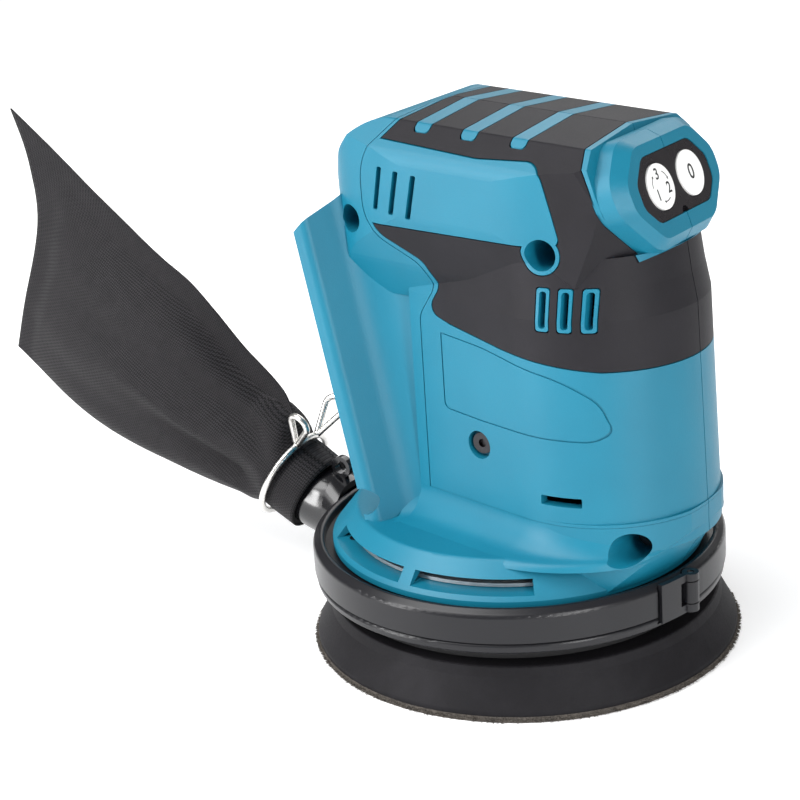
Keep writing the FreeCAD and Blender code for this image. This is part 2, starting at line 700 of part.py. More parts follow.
def motor():
    can = tube(MOTOR_R, MOTOR_R - 1.6, MOTOR_LOW, MOTOR_TOP)
    floor = tube(MOTOR_R, BEARING_SMALL_R + 1.5, MOTOR_LOW, MOTOR_LOW + 1.6)
    save("motor_can", can.fuse(floor))
    magnets = []
    ring = tube(MOTOR_R - 1.6, MOTOR_R - 5.2, MOTOR_LOW + 7, MOTOR_TOP - 9)
    for y in (-1, 1):
        gap = box((-40, min(y * 5, y * 40), 0), (40, max(y * 5, y * 40), 120))
        magnets.append(ring.common(gap))
    save("field_magnets", Part.makeCompound(magnets))

    core = cyl(ARMATURE_R, MOTOR_LOW + 9, MOTOR_TOP - 12).cut(cyl(SHAFT_R, 0, 200))
    for n in range(ARMATURE_SLOTS):
        a = math.radians(360 / ARMATURE_SLOTS * n)
        at = V(math.cos(a), math.sin(a), 0)
        core = core.cut(cyl(2.2, 0, 200, at * (ARMATURE_R - 3.2)))
        neck = box((ARMATURE_R - 3.5, -0.6, 0), (ARMATURE_R + 2, 0.6, 200))
        neck.rotate(V(0, 0, 0), UP, 360 / ARMATURE_SLOTS * n)
        core = core.cut(neck)
    save("armature_core", core)
    coils = []
    for low, high in ((MOTOR_LOW + 4, MOTOR_LOW + 9), (MOTOR_TOP - 12, MOTOR_TOP - 7.5)):
        coil = turned([(SHAFT_R + 0.8, low, 0), (ARMATURE_R - 1.0, low, 1.6),
                       (ARMATURE_R - 1.0, high, 1.6), (SHAFT_R + 0.8, high, 0)])
        coils.append(coil)
    save("windings", Part.makeCompound(coils))
    bars = []
    for n in range(COMMUTATOR_BARS):
        bar = tube(COMMUTATOR_R, SHAFT_R + 0.8, MOTOR_TOP - 6.5, MOTOR_TOP + 4)
        wedge = plan_prism([(0, 0.01), (40, 0.01), (40, 40 * math.tan(math.radians(26)))], 0, 200)
        wedge.rotate(V(0, 0, 0), UP, 360 / COMMUTATOR_BARS * n)
        bars.append(bar.common(wedge))
    save("commutator_bars", Part.makeCompound(bars))
    save("commutator_sleeve", tube(SHAFT_R + 0.8, SHAFT_R, MOTOR_TOP - 6.5, MOTOR_TOP + 5))

    cap = cyl(MOTOR_R - 1.8, MOTOR_TOP - 3, MOTOR_TOP + 1).fuse(cyl(MOTOR_R, MOTOR_TOP, MOTOR_TOP + 8))
    cap = cap.cut(cyl(MOTOR_R - 4, MOTOR_TOP - 5, MOTOR_TOP + 5.5))
    cap = cap.cut(cyl(BEARING_SMALL_R, 90, 130)).fuse(
        tube(BEARING_SMALL_R + 2.2, BEARING_SMALL_R, MOTOR_TOP + 5.5, UPPER_BEARING_TOP + 1.2))
    for side in (-1, 1):
        slot = box((side * 12 - 9, -3.2, MOTOR_TOP - 3.5), (side * 12 + 9, 3.2, MOTOR_TOP + 4.2))
        cap = cap.cut(slot)
    save("motor_end_cap", cap)

    holders = []
    brushes = []
    springs = []
    for side in (-1, 1):
        low = COMMUTATOR_R + 0.6
        high = MOTOR_R - 4.4
        holder = box((low, -3.0, MOTOR_TOP - 3.4), (high, 3.0, MOTOR_TOP + 4.0))
        inside = box((low - 1, -2.2, MOTOR_TOP - 2.6), (high + 1, 2.2, MOTOR_TOP + 3.2))
        brush = box((COMMUTATOR_R + 0.05, -2.1, MOTOR_TOP - 2.5), (high - 2.8, 2.1, MOTOR_TOP + 3.1))
        coil = rod(1.6, V(high - 2.8, 0, MOTOR_TOP + 0.3), V(high, 0, MOTOR_TOP + 0.3))
        for solid, group in ((holder.cut(inside), holders), (brush, brushes), (coil, springs)):
            if side < 0:
                solid = solid.mirror(V(0, 0, 0), V(1, 0, 0))
            group.append(solid)
    save("brush_holders", Part.makeCompound(holders))
    save("carbon_brushes", Part.makeCompound(brushes))
    save("brush_springs", Part.makeCompound(springs))

    cradle = tube(CRADLE_R, MOTOR_R, BARREL_BOSS[1] - 6, BARREL_BOSS[1] + 6)
    for side in (-1, 1):
        cradle = cradle.cut(screw_line(BARREL_BOSS, side, SCREW_R, 10, 40))
    save("motor_cradle", cradle)


def bearing(name, outer, inner, low, high, centre=V(0, 0, 0)):
    """A shielded ball bearing: the two races and the shield make one ring."""
    ring = tube(outer, inner, low, high, centre)
    groove = tube(outer - (outer - inner) * 0.3, inner + (outer - inner) * 0.3, high - 0.5, high + 1,
                  centre)
    save(name, ring.cut(groove))


def drive():
    shaft = cyl(SHAFT_R, LOWER_BEARING_LOW - 1, UPPER_BEARING_TOP + 1)
    shaft = shaft.fuse(cyl(SHAFT_R + 1.2, COUNTER_TOP, LOWER_BEARING_LOW))
    save("motor_shaft", shaft)
    bearing("lower_bearing", BEARING_BIG_R, SHAFT_R + RUN_FIT, LOWER_BEARING_LOW, LOWER_BEARING_LOW + 8)
    bearing("upper_bearing", BEARING_SMALL_R, SHAFT_R + RUN_FIT, UPPER_BEARING_TOP - 6, UPPER_BEARING_TOP)

    plate = cyl(BOX_R, BOX_LOW, BASE_LOW + WALL)
    hub = cyl(BEARING_BIG_R + 3, BASE_LOW + WALL - 0.1, LOWER_BEARING_LOW + 8)
    box_body = plate.fuse(hub).cut(cyl(BEARING_BIG_R, LOWER_BEARING_LOW, 80))
    box_body = box_body.cut(cyl(SHAFT_R + 2.6, 20, 80))
    save("bearing_box", box_body.fuse(tube(BOX_R + 3.5, BOX_R - 2, BASE_LOW + WALL, BASE_LOW + WALL + 1)))
    save("bearing_retainer", tube(BEARING_BIG_R + 3, SHAFT_R + 3, LOWER_BEARING_LOW + 8,
                                  LOWER_BEARING_LOW + 9.2))

    fan = tube(COOL_FAN_R, COOL_HAT_R - 1.4, COOL_FAN_Z - 1.2, COOL_FAN_Z)
    fan = fan.fuse(tube(COOL_HAT_R, COOL_HAT_R - 1.4, COOL_FAN_Z - 1.2, COOL_HAT_TOP))
    fan = fan.fuse(tube(COOL_HAT_R, SHAFT_R, COOL_HAT_TOP - 1.4, COOL_HAT_TOP))
    fan = fan.fuse(tube(SHAFT_R + 2.4, SHAFT_R, COOL_HAT_TOP - 1.4, COOL_HAT_TOP + 3))
    for n in range(COOL_BLADES):
        blade = box((COOL_HAT_R + 1, -0.6, COOL_FAN_Z - 2.9), (COOL_FAN_R - 0.6, 0.6, COOL_FAN_Z - 1.1))
        blade.rotate(V(0, 0, 0), UP, 360 / COOL_BLADES * n)
        fan = fan.fuse(blade)
    save("cooling_fan", fan)

    wheel = tube(COUNTER_R, 3, COUNTER_TOP - 1.8, COUNTER_TOP)
    for n in range(COUNTER_BLADES):
        blade = box((15, -0.8, COUNTER_LOW), (COUNTER_R - 0.5, 0.8, COUNTER_TOP - 1.7))
        blade.rotate(V(0, 0, 0), UP, 360 / COUNTER_BLADES * n)
        wheel = wheel.fuse(blade)
    weight = tube(COUNTER_R, 22, COUNTER_LOW + 1, COUNTER_TOP - 1.7)
    heavy = plan_prism([(0, 0), (-70, -28), (-70, 28)], 0, 60)
    heavy.rotate(V(0, 0, 0), UP, ECCENTRIC_ANGLE)
    wheel = wheel.fuse(weight.common(heavy))
    cup = cyl(PAD_BEARING_R + 2.4, PAD_BEARING_LOW, COUNTER_TOP - 1.7, ECC)
    wheel = wheel.fuse(cup).cut(cyl(PAD_BEARING_R, PAD_BEARING_LOW - 5, PAD_BEARING_LOW + 9, ECC))
    wheel = wheel.cut(cyl(3.0, 0, 60)).fuse(cyl(3.0, COUNTER_TOP - 1.8, COUNTER_TOP))
    save("counterweight_fan", wheel)

    bearing("pad_bearing", PAD_BEARING_R, PAD_SPINDLE_R, PAD_BEARING_LOW, PAD_BEARING_LOW + 8, ECC)


def pad():
    spindle = cyl(PAD_SPINDLE_R - RUN_FIT, PAD_BEARING_LOW, PAD_BEARING_LOW + 8.4, ECC)
    spindle = spindle.fuse(cyl(PAD_SPINDLE_R + 2, PAD_PLATE_TOP, PAD_BEARING_LOW, ECC))
    spindle = spindle.cut(cyl(2.5, PAD_PLATE_TOP - 1, PAD_BEARING_LOW + 7, ECC))
    save("pad_spindle", spindle)

    holes = [cyl(DUST_HOLE_R, -5, 40, ECC + V(math.cos(a), math.sin(a), 0) * (DUST_HOLE_PCD / 2))
             for a in [math.radians(22.5 + 360 / DUST_HOLES * n) for n in range(DUST_HOLES)]]
    plate = turned([(2.6, PAD_FOAM_TOP), (PAD_TOP_R + 0.9, PAD_FOAM_TOP), (PAD_TOP_R, PAD_PLATE_TOP, 0.6),
                    (2.6, PAD_PLATE_TOP)], ECC)
    foam = turned([(PAD_BORE_R, HOOK_T), (PAD_R - 0.3, HOOK_T), (PAD_R - 0.4, HOOK_T + 1.2, 1),
                   (PAD_TOP_R + 0.9, PAD_FOAM_TOP), (PAD_BORE_R, PAD_FOAM_TOP)], ECC)
    hook = tube(PAD_R, PAD_BORE_R, 0, HOOK_T, ECC)
    for hole in holes:
        plate = plate.cut(hole)
        foam = foam.cut(hole)
        hook = hook.cut(hole)
    save("pad_plate", plate)
    save("pad_foam", foam)
    save("hook_face", hook)
    save("pad_washer", tube(7.0, 2.6, PAD_FOAM_TOP - 1.4, PAD_FOAM_TOP, ECC))
    bolt = cyl(2.5, PAD_FOAM_TOP - 1.4, PAD_BEARING_LOW + 6.5, ECC)
    head = cyl(4.5, PAD_FOAM_TOP - 5.4, PAD_FOAM_TOP - 1.4, ECC)
    hexagon = Part.makePolygon([V(2.3 * math.cos(math.radians(60 * n)), 2.3 * math.sin(math.radians(60 * n)),
                                  PAD_FOAM_TOP - 6) + ECC for n in range(7)])
    head = head.cut(Part.Face(hexagon).extrude(V(0, 0, 3)))
    save("pad_bolt", bolt.fuse(head))


# ---- dust ring, skirt, latch ---------------------------------------------------------------

def ring_screw_places():
    """Where four screws hold the dust ring up against the base."""
    angles = [math.radians(45 + 90 * n) for n in range(4)]
    return [V(math.cos(a), math.sin(a), 0) * RING_SCREW_R for a in angles]


def dust_ring():
    section = [(RING_INNER_R, RING_LEDGE - 2.2), (RING_R - RING_WALL, RING_LEDGE - 2.2),
               (RING_R - RING_WALL, RING_LOW), (RING_R - 0.6, RING_LOW, 0.6),
               (RING_R - 0.2, RING_GROOVE - 0.5, 1.0), (RING_R - 0.9, RING_GROOVE - 0.25),
               (RING_R - 0.9, RING_GROOVE + 0.25), (RING_R, RING_GROOVE + 0.25),
               (RING_R, RING_TOP - 1.6, 1.6), (RING_R - 2.2, RING_TOP, 0.8),
               (RING_R - 3.2, RING_TOP - 0.4, 0.8), (RING_R - 3.6, RING_LEDGE), (RING_INNER_R, RING_LEDGE)]
    ring = turned(section)
    ring = ring.cut(spout_foot(-52, -68, SPOUT_FOOT_WIDE - 2, SPOUT_FOOT_TALL - 2,
                               SPOUT_FOOT_WIDE - 2, SPOUT_FOOT_TALL - 2))
    for at in ring_screw_places():
        ring = ring.fuse(cyl(3.6, RING_LEDGE - 0.1, BASE_LOW, at))
        ring = ring.cut(cyl(SCREW_R + 0.2, 20, 40, at))
    pin = latch_pin_at()
    clear = cyl(LATCH_KNUCKLE_R + 0.45, LATCH_LOW - 1, LATCH_MID_LOW, pin).fuse(
        cyl(LATCH_KNUCKLE_R + 0.45, LATCH_MID_HIGH, LATCH_HIGH + 1, pin))
    ring = ring.fuse(latch_tongue()).cut(clear)
    ring = ring.cut(latch_clearance()).cut(cyl(LATCH_PIN_R, 0, 60, pin))
    save("dust_ring", ring)


def latch_pin_at():
    a = math.radians(LATCH_ANGLE)
    return V(math.cos(a), math.sin(a), 0) * LATCH_REACH


def wedge_between(start, end, reach=90):
    a = V(math.cos(math.radians(start)), math.sin(math.radians(start)), 0) * reach
    b = V(math.cos(math.radians(end)), math.sin(math.radians(end)), 0) * reach
    return plan_prism([(0, 0), (a.x, a.y), (b.x, b.y)], 0, 60)


def latch_tongue():
    """The middle knuckle, fixed to the ring."""
    pin = latch_pin_at()
    knuckle = cyl(LATCH_KNUCKLE_R, LATCH_MID_LOW, LATCH_MID_HIGH, pin)
    web = tube(RING_R, RING_R - RING_WALL, LATCH_MID_LOW, LATCH_MID_HIGH).common(
        wedge_between(LATCH_ANGLE - 3, LATCH_ANGLE + 4))
    return knuckle.fuse(web)


def latch_clearance():
    """The seat in the ring's wall that the latch plate lies in."""
    seat = tube(RING_R + 5, RING_R - 0.9, LATCH_LOW - 0.4, LATCH_HIGH + 1.5)
    return seat.common(wedge_between(LATCH_ANGLE - LATCH_SPAN - 0.6, LATCH_ANGLE - 2.2))


def ring_latch():
    pin = latch_pin_at()
    plate = tube(RING_R + 1.0, RING_R - 0.6, LATCH_LOW, LATCH_HIGH)
    plate = plate.common(wedge_between(LATCH_ANGLE - LATCH_SPAN, LATCH_ANGLE))
    knuckles = cyl(LATCH_KNUCKLE_R, LATCH_LOW, LATCH_MID_LOW - 0.3, pin).fuse(
        cyl(LATCH_KNUCKLE_R, LATCH_MID_HIGH + 0.3, LATCH_HIGH, pin))
    latch = plate.cut(cyl(LATCH_KNUCKLE_R + 0.4, LATCH_MID_LOW - 0.3, LATCH_MID_HIGH + 0.3, pin))
    latch = latch.cut(tube(RING_R + 9, RING_R - 3, LATCH_MID_LOW - 0.3, LATCH_MID_HIGH + 0.3).common(
        wedge_between(LATCH_ANGLE - 4.4, LATCH_ANGLE + 4)))
    latch = latch.fuse(knuckles).cut(cyl(LATCH_PIN_R + RUN_FIT, 0, 60, pin))
    save("ring_latch", latch)
    save("latch_pin", cyl(LATCH_PIN_R, LATCH_LOW + 0.4, LATCH_HIGH - 0.4, pin))


def seal_skirt():
    skirt = turned([(50.4, 14.6), (52.2, 14.6), (53.4, 19.5), (RING_R - RING_WALL, 19.5),
                    (RING_R - RING_WALL, 20.9), (52.2, 20.9)])
    save("seal_skirt", skirt)


# ---- spout, bag, clamp ------------------------------------------------------------------------

def spout_axis():
    turn = math.radians(BAG_RISE)
    back = SPOUT_BEND_R * math.tan(turn / 2)
    start = SPOUT_BEND - V(-1, 0, 0) * back
    end = SPOUT_BEND + BAG_D * back
    middle = SPOUT_BEND + (V(1, 0, 0) + BAG_D).normalize() * (
        SPOUT_BEND_R / math.cos(turn / 2) - SPOUT_BEND_R)
    tip = BAG_MOUTH + BAG_D * SPOUT_GRIP
    return Part.Wire([Part.LineSegment(SPOUT_START, start).toShape(),
                      Part.Arc(start, middle, end).toShape(),
                      Part.LineSegment(end, tip).toShape()])


def spout_foot(near, far, wide, tall, wide_far, tall_far):
    """A loft between two upright ellipses, along the spout's level start."""
    wires = []
    for x, a, b in ((near, wide, tall), (far, wide_far, tall_far)):
        centre = V(x, 0, SPOUT_START.z)
        axis = V(0, a, 0) if a >= b else V(0, 0, b)
        other = V(0, 0, b) if a >= b else V(0, a, 0)
        if abs(a - b) < 1e-6:
            wires.append(Part.Wire(Part.makeCircle(a, centre, V(-1, 0, 0))))
        else:
            wires.append(Part.Wire(Part.Ellipse(centre + axis, centre + other, centre).toShape()))
    return Part.makeLoft(wires, True, True)


def spout():
    """The elbow that carries the dust from the ring up into the bag."""
    def pipe(radius):
        circle = Part.Wire(Part.makeCircle(radius, SPOUT_START, V(-1, 0, 0)))
        return spout_axis().makePipeShell([circle], True, True)

    far = SPOUT_START.x
    near = -RING_R + 5
    foot = spout_foot(near, far, SPOUT_FOOT_WIDE, SPOUT_FOOT_TALL, SPOUT_R, SPOUT_R)
    hole = spout_foot(near, far, SPOUT_FOOT_WIDE - 2, SPOUT_FOOT_TALL - 2, SPOUT_BORE, SPOUT_BORE)
    elbow = pipe(SPOUT_R).fuse(foot).cut(pipe(SPOUT_BORE)).cut(hole)
    elbow = elbow.cut(cyl(RING_R + 0.02, 0, 80))
    loop = tube(SPOUT_EYE_R, SPOUT_EYE_R - 1.3, -1.1, 1.1)
    loop.rotate(V(0, 0, 0), V(1, 0, 0), 90)
    loop.translate(V(far + 1.2, 0, SPOUT_START.z + SPOUT_R + SPOUT_EYE_R - 1.4))
    loop = loop.cut(pipe(SPOUT_BORE + 0.5))
    save("dust_spout", elbow.fuse(loop))


def bag_frame(s):
    """Lower and upper edge of the bag a distance s along it from its mouth."""
    k = max(0.0, s - BAG_NECK) / (BAG_LENGTH - BAG_NECK)
    low = BAG_MOUTH + BAG_D * s - BAG_N * (SPOUT_R + 2.4 + (BAG_WIDTH * 0.46 - 13) * k)
    rise = SPOUT_R + 2.4 + (BAG_WIDTH * 0.54 - 13) * k
    high = BAG_MOUTH + BAG_D * (s * (1 + 0.10 * k)) + BAG_N * rise
    return low, high


def bag_section(s, thick, inset):
    low, high = bag_frame(s)
    centre = (low + high) / 2
    radius = (high - low).Length / 2 - inset
    direction = (high - low).normalize()
    thick = min(thick - inset, radius * 0.995)
    ellipse = Part.Ellipse(centre + direction * radius, centre + V(0, thick, 0), centre)
    return Part.Wire(ellipse.toShape())


def dust_bag():
    neck = SPOUT_R + 2.4
    stations = [(0.0, neck), (BAG_NECK / 2, neck), (BAG_NECK, neck), (48.0, BAG_THICK * 0.56),
                (80.0, BAG_THICK * 0.5), (112.0, BAG_THICK * 0.36), (BAG_LENGTH, 1.6)]
    outer = Part.makeLoft([bag_section(s, t, 0) for s, t in stations], True)
    inner = [(s, max(t, 2.4)) for s, t in stations[:-1]] + [(BAG_LENGTH - 6, 2.2)]
    room = Part.makeLoft([bag_section(s, t, BAG_WALL) for s, t in inner], True)
    bag = outer.cut(room)
    save("dust_bag", bag)
    mouth = rod(SPOUT_R + 2.4 - BAG_WALL - 0.08, BAG_MOUTH + BAG_D * 0.4, BAG_MOUTH + BAG_D * 16)
    save("bag_collar", mouth.cut(rod(SPOUT_R + 0.3, BAG_MOUTH - BAG_D, BAG_MOUTH + BAG_D * 20)))


def spring_clamp():
    centre = BAG_MOUTH + BAG_D * CLAMP_AT
    ring_r = SPOUT_R + 2.4 + 0.35 + CLAMP_WIRE
    clamp = Part.makeTorus(ring_r, CLAMP_WIRE, centre, BAG_D)
    for side in (-1, 1):
        lean = (BAG_N * math.cos(EAR_LEAN) + V(0, side * math.sin(EAR_LEAN), 0)).normalize()
        root = centre + lean * (ring_r - 0.2)
        height = EAR_TALL - EAR_R
        along = height - EAR_R * EAR_R / height
        aside = EAR_R * math.sqrt(1 - (EAR_R / height) ** 2)
        left = root + lean * along - BAG_D * aside
        right = root + lean * along + BAG_D * aside
        loop = Part.Wire([Part.LineSegment(root, left).toShape(),
                          Part.Arc(left, root + lean * EAR_TALL, right).toShape(),
                          Part.LineSegment(right, root).toShape()])
        circle = Part.Wire(Part.makeCircle(CLAMP_WIRE, root, left - root))
        clamp = clamp.fuse(loop.makePipeShell([circle], True, False, 2))
    save("spring_clamp", clamp)


# ---- electronics, dock terminals, leads, screws ------------------------------------------------

def electronics():
    board = controller_plate()
    case = box((CONTROL_X + 2, -17, 62), (CONTROL_X + 12, 17, 98))
    save("controller_board", board)
    save("controller_case", case)
    sink = box((CONTROL_X + 12, -15, 64), (CONTROL_X + 14, 15, 96))
    for n in range(6):
        y = -14 + 5.3 * n
        sink = sink.fuse(box((CONTROL_X + 14, y, 64), (CONTROL_X + 19, y + 1.4, 96)))
    save("heat_sink", sink)


def dock_terminals():
    block = dock_prism([(4.6, 14.0), (6.98, 14.0)], 34, 58)
    foot = dock_prism(TERMINAL_FOOT, 38, 54)
    save("terminal_block", block.fuse(foot))
    blades = []
    for side in (-1, 1):
        blade = dock_prism([(-2.4, 0.4), (4.6, 0.4)], 36, 50)
        blade.translate(V(0, side * 9.5, 0))
        blades.append(blade)
    save("terminal_blades", Part.makeCompound(blades))


def lead(points, radius):
    """An insulated lead between fixed terminals, with rounded bends."""
    corners = [V(*p) for p in points]
    edges = []
    here = corners[0]
    for i in range(1, len(corners) - 1):
        before = (corners[i - 1] - corners[i]).normalize()
        after = (corners[i + 1] - corners[i]).normalize()
        half = before.getAngle(after) / 2
        back = 3.5
        bend = back * math.tan(half)
        middle = corners[i] + (before + after).normalize() * (bend / math.sin(half) - bend)
        a = corners[i] + before * back
        b = corners[i] + after * back
        edges.append(Part.LineSegment(here, a).toShape())
        edges.append(Part.Arc(a, middle, b).toShape())
        here = b
    edges.append(Part.LineSegment(here, corners[-1]).toShape())
    circle = Part.Wire(Part.makeCircle(radius, corners[0], corners[1] - corners[0]))
    return Part.Wire(edges).makePipeShell([circle], True, True)


def leads():
    rise = MOTOR_TOP + 13.8
    motor_leads = []
    for side in (-1, 1):
        motor_leads.append(lead([(15.5, 5 * side, MOTOR_TOP + 8), (15.5, 5 * side, rise),
                                 (CONTROL_X + 7, 6 * side, rise), (CONTROL_X + 7, 6 * side, 98)], 1.2))
    save("motor_leads", Part.makeCompound(motor_leads))
    start = nose_point(0, 1, -8.6)
    turn = nose_point(0, 1, -14.6)
    ribbon = lead([(start.x, 0, start.z), (turn.x, 0, turn.z), (40.5, 0, 124), (40.5, 0, 110),
                   (CONTROL_X + 7, 0, 106), (CONTROL_X + 7, 0, 98)], 1.0)
    save("switch_lead", ribbon)


def housing_screws():
    screws = []
    for boss, head_at in ((HANDLE_BOSS, SCREW_DEEP), (REAR_BOSS, SCREW_DEEP),
                          (FLANGE_BOSS, SCREW_DEEP), (FOOT_BOSS, SCREW_DEEP)):
        shank = screw_line(boss, -1, SCREW_R, -10, head_at)
        head = screw_line(boss, -1, SCREW_HEAD_R, head_at, head_at + 2.4)
        socket = screw_line(boss, -1, 1.2, head_at + 1.2, head_at + 4)
        screws.append(shank.fuse(head).cut(socket))
    for side in (-1, 1):
        shank = screw_line(BARREL_BOSS, side, SCREW_R, CRADLE_R - 2.3, CRADLE_R + 3)
        head = screw_line(BARREL_BOSS, side, SCREW_HEAD_R, CRADLE_R + 3, CRADLE_R + 5.2)
        socket = screw_line(BARREL_BOSS, side, 1.2, CRADLE_R + 4.2, CRADLE_R + 7)
        screws.append(shank.fuse(head).cut(socket))
    save("housing_screws", Part.makeCompound(screws))
    ring_screws = []
    for at in ring_screw_places():
        ring_screws.append(cyl(SCREW_R, RING_LEDGE - 2.2, BASE_LOW + WALL, at).fuse(
            cyl(SCREW_HEAD_R, RING_LEDGE - 4.2, RING_LEDGE - 2.2, at)))
    save("ring_screws", Part.makeCompound(ring_screws))


shells()
switch_panel()
button("speed_button", -1)
button("off_button", 1)
switch_board()
motor()
drive()
pad()
dust_ring()
ring_latch()
seal_skirt()
spout()
dust_bag()
spring_clamp()
electronics()
dock_terminals()
leads()
housing_screws()
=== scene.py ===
import math
import random

import bpy
from mathutils import Matrix, Vector


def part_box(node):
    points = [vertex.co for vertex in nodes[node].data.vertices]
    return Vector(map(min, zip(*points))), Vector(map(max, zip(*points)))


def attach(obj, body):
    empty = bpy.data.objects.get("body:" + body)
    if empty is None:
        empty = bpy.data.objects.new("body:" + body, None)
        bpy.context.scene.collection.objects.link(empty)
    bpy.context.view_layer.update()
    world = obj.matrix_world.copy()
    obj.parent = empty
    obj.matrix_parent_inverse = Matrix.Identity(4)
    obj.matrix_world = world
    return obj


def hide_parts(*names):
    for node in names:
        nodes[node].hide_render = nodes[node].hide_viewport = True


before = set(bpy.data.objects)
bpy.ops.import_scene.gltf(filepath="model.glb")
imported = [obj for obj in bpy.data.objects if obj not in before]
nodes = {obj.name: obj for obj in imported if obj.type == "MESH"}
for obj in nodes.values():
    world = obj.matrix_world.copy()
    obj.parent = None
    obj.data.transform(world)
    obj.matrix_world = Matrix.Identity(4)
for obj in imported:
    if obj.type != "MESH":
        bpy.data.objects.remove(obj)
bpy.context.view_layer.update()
scene = bpy.context.scene
MM = 0.001


# ---- Camera -----------------------------------------------------------------------------
# A long lens held a little above the tool, on its front right quarter, with a slight roll.

CAMERA_DISTANCE = 0.600
CAMERA_AZIMUTH = math.radians(33.1)
CAMERA_ELEVATION = math.radians(26.3)
AIM_AZIMUTH = math.radians(36.47)
AIM_PITCH = math.radians(19.91)
CAMERA_ROLL = math.radians(-3.77)
SENSOR = 36.0                   # millimetres, as the lens
LENS = 91.0

camera = bpy.data.objects.new("camera", bpy.data.cameras.new("camera"))
scene.collection.objects.link(camera)
camera.data.sensor_width = SENSOR
camera.data.lens = LENS
camera.data.clip_start = 0.02
back = Vector((math.sin(AIM_AZIMUTH) * math.cos(AIM_PITCH), -math.cos(AIM_AZIMUTH) * math.cos(AIM_PITCH),
               math.sin(AIM_PITCH)))
level = Vector((0, 0, 1)).cross(back).normalized()
upright = back.cross(level)
right = level * math.cos(CAMERA_ROLL) + upright * math.sin(CAMERA_ROLL)
up = upright * math.cos(CAMERA_ROLL) - level * math.sin(CAMERA_ROLL)
place = CAMERA_DISTANCE * Vector((math.sin(CAMERA_AZIMUTH) * math.cos(CAMERA_ELEVATION),
                                  -math.cos(CAMERA_AZIMUTH) * math.cos(CAMERA_ELEVATION),
                                  math.sin(CAMERA_ELEVATION)))
camera.matrix_world = Matrix((right, up, back)).transposed().to_4x4()
camera.location = place
scene.camera = camera


# ---- Blue shells ------------------------------------------------------------------------
# Four glass-filled nylon mouldings: two front halves and two rear halves, screwed together.
# Their mould is spark-eroded, which leaves a fine even grain that glitters in strong light; the glints are
# painted into the colour as pale specks.

class Socket:
    """A node's output, wrapped so that plain expressions on it add the Math nodes."""

    def __init__(self, finish, output):
        self.finish = finish
        self.output = output

    def math(self, operation, *others):
        return self.finish.add("ShaderNodeMath", {"operation": operation}, [self, *others])

    def __add__(self, other):
        return self.math("ADD", other)

    __radd__ = __add__

    def __sub__(self, other):
        return self.math("SUBTRACT", other)

    def __rsub__(self, other):
        return (self * -1.0).math("ADD", other)

    def __mul__(self, other):
        return self.math("MULTIPLY", other)

    __rmul__ = __mul__

    def __gt__(self, other):
        return self.math("GREATER_THAN", other)


class Finish:
    """One material: a surface shader, and a method that adds any other node to it."""

    def __init__(self, name, **sockets):
        self.material = bpy.data.materials.new(name)
        self.material.use_nodes = True
        self.tree = self.material.node_tree
        self.shader = self.tree.nodes["Principled BSDF"]
        for socket, value in sockets.items():
            self.feed(socket.replace("_", " "), value)
        self.where = self.add("ShaderNodeTexCoord", output="Object")

    def feed(self, socket, value):
        if isinstance(value, Socket):
            self.tree.links.new(value.output, self.shader.inputs[socket])
        else:
            self.shader.inputs[socket].default_value = value

    def add(self, kind, settings=None, inputs=(), output=0):
        node = self.tree.nodes.new(kind)
        for name, value in (settings or {}).items():
            setattr(node, name, value)
        pairs = inputs.items() if isinstance(inputs, dict) else enumerate(inputs)
        for key, value in pairs:
            if isinstance(value, Socket):
                self.tree.links.new(value.output, node.inputs[key])
            else:
                node.inputs[key].default_value = value
        return Socket(self, node.outputs[output])

    def noise(self, scale, detail=2.0, rough=0.5):
        return self.add("ShaderNodeTexNoise", {}, {"Vector": self.where, "Scale": scale, "Detail": detail,
                                                   "Roughness": rough}, "Fac")

    def blend(self, factor, dark, light):
        return self.add("ShaderNodeMix", {"data_type": "RGBA"}, {0: factor, 6: dark, 7: light}, 2)

    def ramp(self, factor, low, high):
        """0 below low and 1 above high, with a straight slope between."""
        return self.add("ShaderNodeMapRange", {}, [factor, low, high, 0.0, 1.0])

    def bump(self, height, distance, strength=1.0):
        self.feed("Normal", self.add("ShaderNodeBump", {}, {"Strength": strength, "Distance": distance,
                                                           "Height": height}))


def shade(rgb, factor=1.0):
    return (rgb[0] * factor, rgb[1] * factor, rgb[2] * factor, 1.0)


def put(finish, *names):
    """Gives CAD nodes a finish."""
    for name in names:
        nodes[name].data.materials.clear()
        nodes[name].data.materials.append(finish.material)


BLUE = (0.0025, 0.128, 0.205)
BLUE_PALE = (0.005, 0.166, 0.255)


def moulded_blue():
    finish = Finish("blue_nylon", Specular_IOR_Level=0.36)
    grain = finish.noise(2600, 3.0, 0.6)
    # Pale specks painted into the colour: painted glints on the grain.
    painted_glints = finish.ramp(finish.noise(5200, 1.0), 0.62, 0.78)
    cloud = finish.noise(38, 3.0)
    colour = finish.blend(cloud, shade(BLUE), shade(BLUE_PALE))
    finish.feed("Base Color", finish.blend(painted_glints * 0.22, colour, shade(BLUE_PALE, 1.35)))
    finish.feed("Roughness", 0.36 + grain * 0.16)
    finish.bump(grain, 0.00006, 0.55)
    return finish


put(moulded_blue(), "front_shell_right", "front_shell_left", "rear_shell_right", "rear_shell_left")


# ---- Soft grip --------------------------------------------------------------------------
# Charcoal thermoplastic rubber moulded over the front shells, matt, with worn paler crests.

RUBBER_DARK = (0.0065, 0.006, 0.0075)
RUBBER_PALE = (0.016, 0.015, 0.019)


def soft_rubber():
    finish = Finish("soft_grip_rubber", Specular_IOR_Level=0.2)
    grain = finish.noise(3400, 2.0, 0.55)
    cloud = finish.noise(55, 4.0, 0.6)
    finish.feed("Base Color", finish.blend(cloud, shade(RUBBER_DARK), shade(RUBBER_PALE)))
    finish.feed("Roughness", 0.47 + grain * 0.18)
    finish.bump(grain, 0.00005, 0.6)
    return finish


put(soft_rubber(), "grip_rubber_right", "grip_rubber_left")


